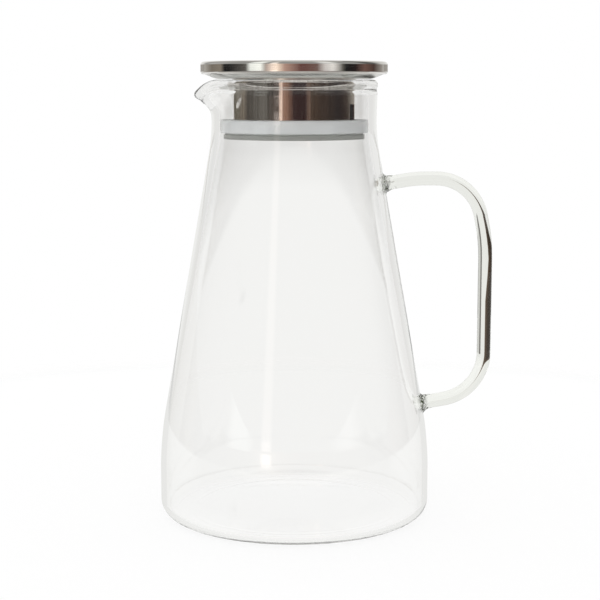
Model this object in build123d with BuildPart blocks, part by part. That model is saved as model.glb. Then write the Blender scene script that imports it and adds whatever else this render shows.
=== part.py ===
from build123d import *
import math
import os

os.makedirs("parts", exist_ok=True)

# Millimetres. The jug's axis is Z, the table is at zero, the spout points to -X and the handle to +X.

# Glass jug
jug_height = 225.0  # table to the top of the rim
belly_radius = 70.0  # widest part, outside
neck_radius = 42.1  # straight neck, outside
neck_wall = 4.0
body_wall = 2.8
base_thickness = 4.5
base_corner_radius = 8.0
base_push_up = 2.5  # the middle of the base is raised by this
foot_ring_width = 9.0  # flat ring that touches the table
belly_height = 38.7  # where the line of the cone meets the straight lower side
belly_blend = 14.0  # half length of the rounding there
shoulder_blend = 7.0  # half length of the rounding from cone to neck
neck_straight = 1.0  # plain neck between that rounding and the pulled zone
rim_radius = 2.2  # rounded rim, a little wider than the neck wall

# Spout, pulled out of the neck's upper zone
spout_depth = 20.5  # height of the pulled zone
spout_reach = 8.4  # how far the lip is pulled outwards
spout_drop = 5.3  # how far the lip dips below the rim
spout_lean = 54.0  # degrees that the wall leans out of the vertical at the lip
spout_half_angle = 42.0  # degrees each side of the spout over which the wall is pulled
spout_dip_half_angle = 27.0  # degrees each side over which the rim dips
spout_sections = 17
spout_curve_pull = 0.45  # reach of the wall curve's handles, as a share of its chord
seam_tolerance = 0.001  # the pulled stretch follows the round neck within this

# Handle, a bent glass rod
handle_rod_diameter = 7.2
handle_top_drop = 21.3  # upper arm below the meeting line of cone and neck
handle_top_rise = 3.0  # the upper arm rises by this over its first stretch, then runs level
handle_top_knee = 16.0  # length of that first stretch, beyond the body
handle_knee_radius = 60.0
handle_level_run = 10.6  # from the knee to the start of the upper bend
handle_upper_bend = 23.5  # radius of the upper bend
grip_lean = 12.5  # degrees out of the upright, below the upper bend
grip_lean_run = 3.3  # straight length that leans
grip_lean_radius = 90.0  # eases the leaning length into the upright grip
handle_lower_bend = 25.0  # radius of the lower bend
handle_bottom_lift = 24.7  # lower corner above the meeting line of belly and cone
handle_bottom_rise = 6.2  # the lower arm rises by this on its way out
weld_radius = 5.5  # flared end where the rod is fused to the body
weld_length = 5.0
weld_root = 2.0  # how far the rod's end starts inside the body's outer face

# Steel cap of the lid
cap_overhang = 5.4  # cap edge beyond the neck
cap_height = 6.4
cap_wall = 0.7
cap_inner_top_round = 0.8
cap_inner_bottom_round = 0.5
cap_hem_width = 2.0  # turned-in rim under the cap

# Dished plate under the cap
plate_thickness = 0.6
plate_rim_gap = 0.4  # plate above the glass rim
plate_dish = 2.3  # depth of the dish below the cap's rim
plate_flat_margin = 0.6  # the flat seat ends this far inside the crest of the glass rim

# Steel sleeve in the neck
pour_gap = 6.6  # between the sleeve and the inside of the neck
sleeve_wall = 0.5
sleeve_length = 20.4
window_height = 8.2
window_start = -30.0  # degrees from +X, seen from above
window_width = 37.0
strainer_slot_width = 2.0
strainer_slot_height = 8.0
strainer_slot_pitch = 8.0  # degrees between slots
strainer_slots = 5

# Plastic core and its lock ring
core_wall = 2.0
core_top_thickness = 2.0
core_top_gap = 2.2  # below the inside of the cap
gasket_flange_reach = 2.2  # flange that the gasket snaps over
gasket_flange_height = 1.6
gasket_flange_level = 5.0  # flange above the core's lower end
lock_ring_width = 5.0
lock_ring_height = 3.0

# Silicone gasket
gasket_height = 9.8
gasket_band_height = 6.6
gasket_lip_inset = 1.8  # the lower lip is narrower than the band by this
gasket_groove_depth = 0.7
gasket_groove_height = 0.8
gasket_round = 0.6
gasket_core_inset = 0.4  # the core ends this far above the gasket's lower edge

# Clearances
fixed_clearance = 0.1  # between lid pieces that are assembled for good
running_clearance = 0.3  # between pieces that turn or slide

# Worked out from the sizes above
neck_inner_radius = neck_radius - neck_wall
belly_inner_radius = belly_radius - body_wall
foot_inner_radius = belly_radius - base_corner_radius - foot_ring_width
spout_base = jug_height - spout_depth
shoulder_height = spout_base - neck_straight - shoulder_blend
cone_height = shoulder_height - belly_height
outer_cone_angle = math.atan2(belly_radius - neck_radius, cone_height)
inner_cone_angle = math.atan2(belly_inner_radius - neck_inner_radius, cone_height)
rim_center_radius = neck_inner_radius + rim_radius
rim_center_height = jug_height - rim_radius
plain_rim_angle = 360.0 - 2.0 * spout_half_angle

plate_bottom = jug_height + plate_rim_gap
cap_bottom = plate_bottom + plate_dish
cap_top = cap_bottom + cap_height
cap_radius = neck_radius + cap_overhang
cap_hem_radius = cap_radius - cap_hem_width
plate_shelf = cap_bottom + cap_wall + fixed_clearance
plate_top = plate_bottom + plate_thickness

sleeve_radius = neck_inner_radius - pour_gap
sleeve_inner_radius = sleeve_radius - sleeve_wall
sleeve_bottom = plate_bottom - sleeve_length
core_radius = sleeve_inner_radius - fixed_clearance
core_inner_radius = core_radius - core_wall
core_top = cap_top - cap_wall - core_top_gap
plate_hole_radius = core_radius + fixed_clearance
gasket_top = sleeve_bottom
gasket_bottom = gasket_top - gasket_height
gasket_band_bottom = gasket_top - gasket_band_height
core_bottom = gasket_bottom + gasket_core_inset
flange_bottom = core_bottom + gasket_flange_level
flange_radius = sleeve_radius + gasket_flange_reach
gasket_inner_radius = sleeve_radius + running_clearance
gasket_band_radius = neck_inner_radius - running_clearance
gasket_lip_radius = gasket_band_radius - gasket_lip_inset
window_middle = window_start + window_width / 2.0
strainer_middle = window_middle + 180.0


def outer_side():
    """Foot ring, belly, cone and neck as seen from outside."""
    return FilletPolyline(
        (foot_inner_radius, 0),
        (belly_radius, 0),
        (belly_radius, belly_height),
        (neck_radius, shoulder_height),
        (neck_radius, spout_base),
        radius=[
            base_corner_radius,
            belly_blend / math.tan(outer_cone_angle / 2.0),
            shoulder_blend / math.tan(outer_cone_angle / 2.0),
        ],
    )


def inner_side():
    """Inside of the jug from the floor's flat ring to the neck."""
    return FilletPolyline(
        (foot_inner_radius, base_thickness),
        (belly_inner_radius, base_thickness),
        (belly_inner_radius, belly_height),
        (neck_inner_radius, shoulder_height),
        (neck_inner_radius, spout_base),
        radius=[
            base_corner_radius,
            belly_blend / math.tan(inner_cone_angle / 2.0),
            shoulder_blend / math.tan(inner_cone_angle / 2.0),
        ],
    )


def cone_radius(height):
    """Outside radius of the conical side at a height above the table."""
    return neck_radius + (shoulder_height - height) * math.tan(outer_cone_angle)


def bump(angle, half_angle):
    """One at the middle of the spout, easing to nothing at half_angle each side."""
    if abs(angle) >= half_angle:
        return 0.0
    return math.cos(math.pi / 2.0 * angle / half_angle) ** 2


def side_plane(angle):
    """Upright plane through the jug's axis, with its local x pointing outwards at this angle."""
    turn = math.radians(angle)
    return Plane(
        origin=(0, 0, 0),
        x_dir=(math.cos(turn), math.sin(turn), 0),
        z_dir=(math.sin(turn), -math.cos(turn), 0),
    )


def wall_curve(start, end, lean):
    """Wall line that leaves the neck upright and ends with this lean."""
    reach = spout_curve_pull * math.dist(start, end)
    upright = (start[0], start[1] + reach)
    leaning = (end[0] - reach * math.sin(lean), end[1] - reach * math.cos(lean))
    return Bezier(start, upright, leaning, end)


def rim_section(angle):
    """Section of the wall and rim, at an angle from the middle of the spout."""
    pull = bump(angle, spout_half_angle)
    lean = math.radians(spout_lean * pull)
    center_x = rim_center_radius + spout_reach * pull
    center_z = rim_center_height - spout_drop * bump(angle, spout_dip_half_angle)
    across = (rim_radius * math.cos(lean), -rim_radius * math.sin(lean))
    along = (rim_radius * math.sin(lean), rim_radius * math.cos(lean))
    outer_end = (center_x + across[0], center_z + across[1])
    inner_end = (center_x - across[0], center_z - across[1])
    crest = (center_x + along[0], center_z + along[1])
    wall_curve((neck_radius, spout_base), outer_end, lean)
    RadiusArc(outer_end, crest, -rim_radius)
    RadiusArc(crest, inner_end, -rim_radius)
    wall_curve((neck_inner_radius, spout_base), inner_end, lean)
    Line((neck_inner_radius, spout_base), (neck_radius, spout_base))


# Lower jug: base, belly, cone and neck in one turn
with BuildPart() as jug_lower:
    with BuildSketch(Plane.XZ):
        with BuildLine():
            TangentArc((0, base_push_up), (foot_inner_radius, 0), tangent=(1, 0))
            outer_side()
            Line((neck_radius, spout_base), (neck_inner_radius, spout_base))
            inner_side()
            TangentArc(
                (0, base_push_up + base_thickness),
                (foot_inner_radius, base_thickness),
                tangent=(1, 0),
            )
            Line((0, base_push_up), (0, base_push_up + base_thickness))
        make_face()
    revolve(axis=Axis.Z)

# Rim: plain for most of its turn, and pulled out into the spout for the rest
with BuildPart() as jug_rim:
    with BuildSketch(side_plane(180.0 + spout_half_angle)):
        with BuildLine():
            rim_section(spout_half_angle)
        make_face()
    revolve(axis=Axis.Z, revolution_arc=plain_rim_angle)
    for step in range(spout_sections):
        angle = spout_half_angle * (2.0 * step / (spout_sections - 1) - 1.0)
        with BuildSketch(side_plane(180.0 + angle)):
            with BuildLine():
                rim_section(angle)
            make_face()
    loft()

# Glass body: the two are one piece of glass, joined where the pulled zone starts
with BuildPart() as glass_body:
    add(jug_lower.part.fuse(jug_rim.part, tol=seam_tolerance))

glass_body.part.label = "glass_body"
export_step(glass_body.part, "parts/glass_body.step")

# Handle: a bent rod, flared where it is fused to the conical side
handle_top = shoulder_height - handle_top_drop
handle_bottom = belly_height + handle_bottom_lift
upper_root_height = handle_top - handle_top_rise
lower_root_height = handle_bottom - handle_bottom_rise
knee_reach = cone_radius(upper_root_height) + handle_top_knee
lean = math.radians(grip_lean)
upper_bend_length = handle_upper_bend * math.tan((math.pi / 2.0 - lean) / 2.0)
lean_bend_length = grip_lean_radius * math.tan(lean / 2.0)
lean_length = upper_bend_length + grip_lean_run + lean_bend_length
corner_reach = knee_reach + handle_level_run + upper_bend_length
grip_reach = corner_reach + lean_length * math.sin(lean)
upper_root = (cone_radius(upper_root_height) - weld_root, upper_root_height)
lower_root = (cone_radius(lower_root_height) - weld_root, lower_root_height)
upper_knee = (knee_reach, handle_top)
upper_corner = (corner_reach, handle_top)
grip_top = (grip_reach, handle_top - lean_length * math.cos(lean))
lower_corner = (grip_reach, handle_bottom)

with BuildPart() as handle:
    with BuildLine(Plane.XZ) as handle_line:
        FilletPolyline(
            upper_root,
            upper_knee,
            upper_corner,
            grip_top,
            lower_corner,
            lower_root,
            radius=[handle_knee_radius, handle_upper_bend, grip_lean_radius, handle_lower_bend],
        )
    with BuildSketch(Plane(origin=handle_line.wire() @ 0, z_dir=handle_line.wire() % 0)):
        Circle(handle_rod_diameter / 2.0)
    sweep()
    for root, arm_end in ((upper_root, upper_knee), (lower_root, lower_corner)):
        arm_start = (root[0], 0, root[1])
        arm_direction = (arm_end[0] - root[0], 0, arm_end[1] - root[1])
        with BuildSketch(Plane(origin=arm_start, x_dir=arm_direction, z_dir=(0, -1, 0))):
            with BuildLine():
                Line((0, 0), (0, weld_radius))
                Line((0, weld_radius), (weld_root, weld_radius))
                TangentArc(
                    (weld_root + weld_length, handle_rod_diameter / 2.0),
                    (weld_root, weld_radius),
                    tangent=(-1, 0),
                )
                Line((weld_root + weld_length, handle_rod_diameter / 2.0), (weld_root + weld_length, 0))
                Line((weld_root + weld_length, 0), (0, 0))
            make_face()
        revolve(axis=Axis(arm_start, arm_direction))
    with BuildSketch(Plane.XZ):
        with BuildLine():
            outer_side()
            Polyline((neck_radius, spout_base), (0, spout_base), (0, 0), (foot_inner_radius, 0))
        make_face()
    revolve(axis=Axis.Z, mode=Mode.SUBTRACT)

handle.part.label = "handle"
export_step(handle.part, "parts/handle.step")

# Steel cap: a pressed shell with a rounded edge and a turned-in rim
with BuildPart() as lid_cap:
    with BuildSketch(Plane.XZ):
        with BuildLine():
            FilletPolyline(
                (0, cap_top),
                (cap_radius, cap_top),
                (cap_radius, cap_bottom),
                (cap_hem_radius, cap_bottom),
                radius=[cap_inner_top_round + cap_wall, cap_inner_bottom_round + cap_wall],
            )
            Line((cap_hem_radius, cap_bottom), (cap_hem_radius, cap_bottom + cap_wall))
            FilletPolyline(
                (cap_hem_radius, cap_bottom + cap_wall),
                (cap_radius - cap_wall, cap_bottom + cap_wall),
                (cap_radius - cap_wall, cap_top - cap_wall),
                (0, cap_top - cap_wall),
                radius=[cap_inner_bottom_round, cap_inner_top_round],
            )
            Line((0, cap_top - cap_wall), (0, cap_top))
        make_face()
    revolve(axis=Axis.Z)

lid_cap.part.label = "lid_cap"
export_step(lid_cap.part, "parts/lid_cap.step")

# Dished underplate: hangs by its flange on the cap's turned-in rim and clears the glass rim
plate_edge_radius = cap_radius - cap_wall - cap_inner_bottom_round - fixed_clearance
plate_drop_radius = cap_hem_radius - fixed_clearance
plate_flat_radius = rim_center_radius - plate_flat_margin

with BuildPart() as lid_underplate:
    with BuildSketch(Plane.XZ):
        with BuildLine():
            Polyline(
                (plate_edge_radius, plate_shelf),
                (plate_drop_radius, plate_shelf),
                (plate_drop_radius, cap_bottom),
                (plate_flat_radius, plate_bottom),
                (plate_hole_radius, plate_bottom),
                (plate_hole_radius, plate_top),
                (plate_flat_radius, plate_top),
                (plate_drop_radius - plate_thickness, cap_bottom + plate_thickness),
                (plate_drop_radius - plate_thickness, plate_shelf + plate_thickness),
                (plate_edge_radius, plate_shelf + plate_thickness),
                close=True,
            )
        make_face()
    revolve(axis=Axis.Z)

lid_underplate.part.label = "lid_underplate"
export_step(lid_underplate.part, "parts/lid_underplate.step")


def window_wedge():
    """Wedge of the pour window, seen from above."""
    far = 2.0 * sleeve_radius
    start = math.radians(window_start)
    end = math.radians(window_start + window_width)
    Polygon(
        (0, 0),
        (far * math.cos(start), far * math.sin(start)),
        (far * math.cos(end), far * math.sin(end)),
        align=None,
    )


def strainer_bars():
    """Row of slots on the side away from the window, seen from above."""
    for slot in range(strainer_slots):
        turn = strainer_middle + strainer_slot_pitch * (slot - (strainer_slots - 1) / 2.0)
        with Locations(Location((0, 0, 0), (0, 0, turn))):
            Rectangle(2.0 * sleeve_radius, strainer_slot_width, align=(Align.MIN, Align.CENTER))


# Slots sit half way up the plain wall between the gasket and the underplate
strainer_bottom = sleeve_bottom + (sleeve_length - strainer_slot_height) / 2.0

# Steel sleeve: a thin tube that stands on the core's shoulder and ends under the plate
with BuildPart() as lid_sleeve:
    with BuildSketch(Plane.XY.offset(sleeve_bottom)):
        Circle(sleeve_radius)
        Circle(sleeve_inner_radius, mode=Mode.SUBTRACT)
    extrude(amount=sleeve_length)
    with BuildSketch(Plane.XY.offset(sleeve_bottom)):
        window_wedge()
    extrude(amount=window_height, mode=Mode.SUBTRACT)
    with BuildSketch(Plane.XY.offset(strainer_bottom)):
        strainer_bars()
    extrude(amount=strainer_slot_height, mode=Mode.SUBTRACT)

lid_sleeve.part.label = "lid_sleeve"
export_step(lid_sleeve.part, "parts/lid_sleeve.step")

# Plastic core: a cup turned over, with the gasket's flange low down and the same window and slots
with BuildPart() as lid_core:
    with BuildSketch(Plane.XZ):
        with BuildLine():
            Polyline(
                (core_inner_radius, core_bottom),
                (sleeve_radius, core_bottom),
                (sleeve_radius, flange_bottom),
                (flange_radius, flange_bottom),
                (flange_radius, flange_bottom + gasket_flange_height),
                (sleeve_radius, flange_bottom + gasket_flange_height),
                (sleeve_radius, sleeve_bottom),
                (core_radius, sleeve_bottom),
                (core_radius, core_top),
                (0, core_top),
                (0, core_top - core_top_thickness),
                (core_inner_radius, core_top - core_top_thickness),
                close=True,
            )
        make_face()
    revolve(axis=Axis.Z)
    with BuildSketch(Plane.XY.offset(sleeve_bottom)):
        window_wedge()
    extrude(amount=window_height, mode=Mode.SUBTRACT)
    with BuildSketch(Plane.XY.offset(strainer_bottom)):
        strainer_bars()
    extrude(amount=strainer_slot_height, mode=Mode.SUBTRACT)

lid_core.part.label = "lid_core"
export_step(lid_core.part, "parts/lid_core.step")

# Lock ring on the core's upper end, inside the hollow cap
with BuildPart() as core_lock_ring:
    with BuildSketch(Plane.XY.offset(plate_top)):
        Circle(plate_hole_radius + lock_ring_width)
        Circle(plate_hole_radius, mode=Mode.SUBTRACT)
    extrude(amount=lock_ring_height)

core_lock_ring.part.label = "core_lock_ring"
export_step(core_lock_ring.part, "parts/core_lock_ring.step")

# Silicone gasket: wide sealing band, a groove, a narrower lip, and a seat for the core's flange
seat_radius = flange_radius + running_clearance
seat_bottom = flange_bottom - running_clearance
seat_top = flange_bottom + gasket_flange_height + running_clearance
groove_radius = gasket_lip_radius - gasket_groove_depth
groove_bottom = gasket_band_bottom - gasket_groove_height

with BuildPart() as lid_gasket:
    with BuildSketch(Plane.XZ):
        with BuildLine():
            FilletPolyline(
                (gasket_inner_radius, gasket_top),
                (gasket_band_radius, gasket_top),
                (gasket_band_radius, gasket_band_bottom),
                (groove_radius, gasket_band_bottom),
                radius=gasket_round,
            )
            Line((groove_radius, gasket_band_bottom), (groove_radius, groove_bottom))
            FilletPolyline(
                (groove_radius, groove_bottom),
                (gasket_lip_radius, groove_bottom),
                (gasket_lip_radius, gasket_bottom),
                (gasket_inner_radius, gasket_bottom),
                radius=gasket_round,
            )
            Polyline(
                (gasket_inner_radius, gasket_bottom),
                (gasket_inner_radius, seat_bottom),
                (seat_radius, seat_bottom),
                (seat_radius, seat_top),
                (gasket_inner_radius, seat_top),
                (gasket_inner_radius, gasket_top),
            )
        make_face()
    revolve(axis=Axis.Z)

lid_gasket.part.label = "lid_gasket"
export_step(lid_gasket.part, "parts/lid_gasket.step")
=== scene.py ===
import math

import bmesh
import bpy
from mathutils import Matrix, Vector, noise


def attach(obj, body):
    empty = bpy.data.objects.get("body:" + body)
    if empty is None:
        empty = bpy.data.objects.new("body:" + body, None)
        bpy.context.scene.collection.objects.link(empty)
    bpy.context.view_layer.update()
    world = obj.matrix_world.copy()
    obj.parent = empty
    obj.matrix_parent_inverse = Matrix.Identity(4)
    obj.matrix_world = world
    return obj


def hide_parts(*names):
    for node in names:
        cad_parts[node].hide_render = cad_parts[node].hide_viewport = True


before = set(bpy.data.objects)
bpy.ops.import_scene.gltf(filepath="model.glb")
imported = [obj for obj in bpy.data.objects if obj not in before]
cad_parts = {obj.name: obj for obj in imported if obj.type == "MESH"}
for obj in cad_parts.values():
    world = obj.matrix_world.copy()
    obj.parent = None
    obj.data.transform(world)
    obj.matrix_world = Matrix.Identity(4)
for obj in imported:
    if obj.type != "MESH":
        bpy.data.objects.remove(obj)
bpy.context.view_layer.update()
mm = 0.001  # lengths in the dictionaries below are in millimetres, angles in degrees
upAxis = Vector((0, 0, 1))
print("frame loaded:", len(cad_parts), "CAD nodes")


# camera: the eye stands at lid height and looks down a little
cameraView = {
    "place": (2.986, -776.2, 222.3),
    "down": 8.10,
    "lens": 90.6,
    "sensor": 36.0,
}
cameraData = bpy.data.cameras.new("camera")
cameraData.lens = cameraView["lens"]
cameraData.sensor_width = cameraView["sensor"]
camera = bpy.data.objects.new("camera", cameraData)
camera.location = Vector(cameraView["place"]) * mm
camera.rotation_euler = (math.radians(90.0 - cameraView["down"]), 0, 0)
bpy.context.scene.collection.objects.link(camera)
bpy.context.scene.camera = camera
bpy.context.scene.view_settings.view_transform = "Standard"
print("camera placed")


# node helpers
colorSockets = (0, 6, 7)  # a Mix node's factor and its two colours
colorResult = 2


def addNode(tree, kind, **values):
    node = tree.nodes.new(kind)
    for key, value in values.items():
        if hasattr(node, key):
            setattr(node, key, value)
        else:
            node.inputs[key].default_value = value
    return node


def mathNode(tree, operation, first, second=None):
    node = tree.nodes.new("ShaderNodeMath")
    node.operation = operation
    for index, value in enumerate((first, second)):
        if value is None:
            continue
        if isinstance(value, (int, float)):
            node.inputs[index].default_value = value
        else:
            tree.links.new(value, node.inputs[index])
    return node.outputs[0]


def pickRange(tree, value, low, high):  # 1 between low and high, 0 elsewhere
    above = mathNode(tree, "GREATER_THAN", value, low)
    return mathNode(tree, "MULTIPLY", above, mathNode(tree, "LESS_THAN", value, high))


def rangeShare(tree, value, low, high, atLow=0.0, atHigh=1.0, kind="LINEAR"):
    node = addNode(tree, "ShaderNodeMapRange", interpolation_type=kind)
    tree.links.new(value, node.inputs["Value"])
    for label, number in (("From Min", low), ("From Max", high), ("To Min", atLow), ("To Max", atHigh)):
        node.inputs[label].default_value = number
    return node.outputs["Result"]


def reachShare(tree, value, reach):  # 0 at the reach's first length and 1 at its second
    low, high = (edge * mm for edge in reach)
    return rangeShare(tree, value, low, high)


def halfShare(tree, value):  # -1 to 1 becomes 0 to 1
    return mathNode(tree, "ADD", mathNode(tree, "MULTIPLY", value, 0.5), 0.5)


def blendColors(tree, amount, first, second, blend="MIX"):
    node = addNode(tree, "ShaderNodeMix", data_type="RGBA", blend_type=blend)
    for index, value in zip(colorSockets, (amount, first, second)):
        if isinstance(value, bpy.types.NodeSocket):
            tree.links.new(value, node.inputs[index])
        elif isinstance(value, (int, float)):
            node.inputs[index].default_value = value
        else:
            node.inputs[index].default_value = (*value, 1.0)
    return node.outputs[colorResult]


def colorBand(tree, position, stops):
    node = tree.nodes.new("ShaderNodeValToRGB")
    ramp = node.color_ramp
    while len(ramp.elements) < len(stops):
        ramp.elements.new(0.5)
    for element, (place, color) in zip(ramp.elements, stops):
        element.position = place
        element.color = (*color, 1.0)
    tree.links.new(position, node.inputs["Fac"])
    return node.outputs["Color"]


def objectPlace(tree):
    return tree.nodes.new("ShaderNodeTexCoord").outputs["Object"]


def splitVector(tree, vector):
    node = tree.nodes.new("ShaderNodeSeparateXYZ")
    tree.links.new(vector, node.inputs[0])
    return node.outputs


def axisDistance(tree, across, along):
    squares = [mathNode(tree, "POWER", value, 2.0) for value in (across, along)]
    return mathNode(tree, "SQRT", mathNode(tree, "ADD", *squares))


def mixShaders(tree, amount, first, second):
    node = tree.nodes.new("ShaderNodeMixShader")
    for index, socket in enumerate((amount, first, second)):
        tree.links.new(socket, node.inputs[index])
    return node.outputs[0]


def effectGroup(name, inputs, outputs):
    group = bpy.data.node_groups.new(name, "ShaderNodeTree")
    for label, kind, value in inputs:
        socket = group.interface.new_socket(name=label, in_out="INPUT", socket_type=kind)
        socket.default_value = value
    for label, kind in outputs:
        group.interface.new_socket(name=label, in_out="OUTPUT", socket_type=kind)
    return group, group.nodes.new("NodeGroupInput"), group.nodes.new("NodeGroupOutput")


def placeGroup(tree, group, **values):
    node = tree.nodes.new("ShaderNodeGroup")
    node.node_tree = group
    for label, value in values.items():
        node.inputs[label].default_value = value
    return node


def newMaterial(name):
    material = bpy.data.materials.new(name)
    material.use_nodes = True
    return material, material.node_tree, material.node_tree.nodes["Principled BSDF"]


# studio: white paper all round for the eye, and a dark room with a lamp and two windows for gloss
# heights in the room are upward shares of the direction, from -1 to 1
studio = {
    "white": (1.0, 1.0, 1.0),
    "paperLeft": 1.45,  # soft light on the floor and the matt pieces, stronger from the left
    "paperRight": 0.75,
    "paperBelow": (0.935, 0.935, 0.92),  # the paper seen through glass, low down and at eye level
    "paperLevel": (0.74, 0.74, 0.725),
    "paperChange": -0.06,
    "ceiling": (0.70, 0.70, 0.68),
    "ceilingFrom": 0.85,
    "table": (0.82, 0.78, 0.72),
    "tableEdge": (0.45, 0.45, 0.44),  # the far part of the table, which the straight wall mirrors
    "tableBelow": -0.12,
    "tableNear": -0.35,
    "behindFrom": 0.3,  # share of the direction away from the camera
    "behindBelow": -0.15,
    "windowRow": 0.10,  # the windows reach up to here, and start again higher up
    "windowHigh": 0.35,
    "lamp": (1.00, 0.88, 0.80),
    "lampFrom": -26.5,
    "lampTo": -21.5,
    "lampEdge": 3.0,
    "highFrom": 0.022,
    "capRow": 0.004,  # only the cap's rim mirrors from here to highFrom
    "capEnd": (0.42, 0.40, 0.37),
    "wallFront": (0.40, 0.39, 0.38),  # what the glass's inner face mirrors, in front and behind
    "wallBack": (0.82, 0.82, 0.805),
    "wallTurn": 0.5,  # share of the direction away from the camera
    "sleeveReach": (-0.40, 0.16),
    "sleeveBack": 0.8,  # share of the direction away from the camera
    "floorDrop": 0.4,
    "floorTone": 0.97,
    "floorRadius": 470.0,
    "floorSegments": 96,
    "floorClear": 400.0,  # the paper fades out from here to its edge
    "floorWhite": 0.90,  # how far the shadow is lifted for the eye
    "floorThrough": 0.97,
    "floorNear": (90.0, 120.0),  # mirrored, it's white close to the jug's axis
    "floorFar": (-220.0, -300.0),  # and warm far in front
    "floorTurn": (-80.0, 0.0),  # and pale beside and behind the jug
    "floorSide": (0.80, 0.80, 0.785),
    "glossSteps": 48,  # light paths through glass are longer than the defaults
    "lightSteps": 64,
}
# the lamp's strength by height, with a gap for the cap's rim
lampRows = [
    (-0.080, 0.0),
    (-0.050, 2.2),
    (-0.020, 2.2),
    (0.003, 1.6),
    (0.005, 0.0),
    (0.021, 0.0),
    (0.023, 1.4),
    (0.080, 1.4),
    (0.130, 0.6),
]
# azimuth in degrees from the camera's side, negative to the left, with the colour seen there
roomBands = [
    (-154, (0.90, 0.90, 0.88)),
    (-142, (0.54, 0.52, 0.48)),
    (-120, (0.26, 0.23, 0.19)),
    (-101, (0.32, 0.28, 0.23)),
    (-94, (0.01, 0.01, 0.01)),
    (-84, (0.01, 0.01, 0.01)),
    (-62, (0.11, 0.10, 0.09)),
    (-37, (0.36, 0.32, 0.29)),
    (-30, (1.00, 0.82, 0.72)),
    (-20, (1.40, 1.14, 0.94)),
    (-11, (0.66, 0.42, 0.34)),
    (8, (0.18, 0.07, 0.06)),
    (26, (0.23, 0.14, 0.12)),
    (60, (0.16, 0.15, 0.13)),
    (66, (0.01, 0.01, 0.01)),
    (80, (0.02, 0.01, 0.01)),
    (96, (0.21, 0.12, 0.10)),
    (114, (0.10, 0.06, 0.05)),
    (134, (0.38, 0.35, 0.32)),
    (154, (0.90, 0.90, 0.88)),
]
# the same higher up, as the sloping glass mirrors it
highBands = [
    (-180, (1.00, 1.00, 0.98)),
    (-152, (0.95, 0.95, 0.93)),
    (-138, (0.40, 0.40, 0.39)),
    (-120, (0.60, 0.60, 0.59)),
    (-85, (0.42, 0.42, 0.41)),
    (85, (0.42, 0.42, 0.41)),
    (100, (0.14, 0.14, 0.135)),
    (116, (0.14, 0.14, 0.135)),
    (135, (0.80, 0.80, 0.78)),
    (180, (1.00, 1.00, 0.98)),
]
# two windows on the camera's side
windowBands = [
    (-60, (0.0, 0.0, 0.0)),
    (-54, (1.20, 1.28, 1.24)),
    (-41, (1.20, 1.28, 1.24)),
    (-34, (0.0, 0.0, 0.0)),
    (28, (0.0, 0.0, 0.0)),
    (38, (0.72, 0.74, 0.74)),
    (48, (1.00, 1.01, 1.00)),
    (61, (0.0, 0.0, 0.0)),
]
# what the sleeve mirrors back through the neck
sleeveBands = [
    (-130, (0.17, 0.15, 0.11)),
    (-104, (0.30, 0.26, 0.21)),
    (-92, (0.09, 0.08, 0.07)),
    (-54, (0.23, 0.22, 0.20)),
    (-46, (0.08, 0.07, 0.06)),
    (-27, (0.10, 0.07, 0.06)),
    (-25, (1.60, 1.25, 1.08)),
    (-22, (1.60, 1.25, 1.08)),
    (-20, (0.48, 0.28, 0.20)),
    (-12, (0.36, 0.20, 0.14)),
    (-1, (0.03, 0.01, 0.01)),
    (22, (0.03, 0.01, 0.01)),
    (26, (0.30, 0.20, 0.16)),
    (31, (0.08, 0.05, 0.03)),
    (86, (0.02, 0.01, 0.01)),
    (112, (0.06, 0.04, 0.03)),
    (132, (0.36, 0.33, 0.29)),
]
# what thin glass such as the rod bends into view from the right, by the direction's sideways share
sideBands = [
    (0.0, (0.86, 0.86, 0.845)),
    (0.705, (0.86, 0.86, 0.84)),
    (0.725, (0.18, 0.17, 0.16)),
    (0.785, (0.18, 0.17, 0.16)),
    (0.805, (0.66, 0.66, 0.64)),
    (0.940, (0.66, 0.66, 0.64)),
    (0.980, (0.30, 0.29, 0.28)),
]
thinPaper = (0.86, 0.86, 0.845)
# and from the left, where something dark stands low beside the table
darkSide = {
    "start": -1.45,
    "climb": 10.7,
    "most": 0.05,
    "from": -0.186,
    "full": -0.172,
    "to": -0.07,
    "lineTo": 0.01,
    "tones": [
        (0.0, (0.012, 0.008, 0.005)),
        (0.36, (0.040, 0.026, 0.016)),
        (0.47, (0.10, 0.065, 0.042)),
        (0.495, (0.20, 0.15, 0.11)),
        (0.51, (1.00, 1.00, 1.00)),
    ],
}


def roomBand(tree, turn, bands):  # turn is the azimuth as a share of the full circle
    return colorBand(tree, turn, [(angle / 360.0 + 0.5, color) for angle, color in bands])


def atLeast(tree, count, number):  # a light path counts whole steps, so the limit is half a step lower
    return mathNode(tree, "GREATER_THAN", count, number - 0.5)


def fewerThan(tree, count, number):
    return mathNode(tree, "LESS_THAN", count, number - 0.5)


def lampGlare(tree, turn, up):
    black = (0.0, 0.0, 0.0)
    lamp = roomBand(tree, turn, [
        (studio["lampFrom"] - studio["lampEdge"], black),
        (studio["lampFrom"], studio["lamp"]),
        (studio["lampTo"], studio["lamp"]),
        (studio["lampTo"] + studio["lampEdge"], black),
    ])
    lowest, highest = lampRows[0][0], lampRows[-1][0]
    strength = colorBand(tree, rangeShare(tree, up, lowest, highest), [
        ((height - lowest) / (highest - lowest), [value] * 3) for height, value in lampRows
    ])
    glare = addNode(tree, "ShaderNodeVectorMath", operation="SCALE")
    tree.links.new(lamp, glare.inputs[0])
    tree.links.new(strength, glare.inputs["Scale"])
    return glare.outputs[0]


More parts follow.
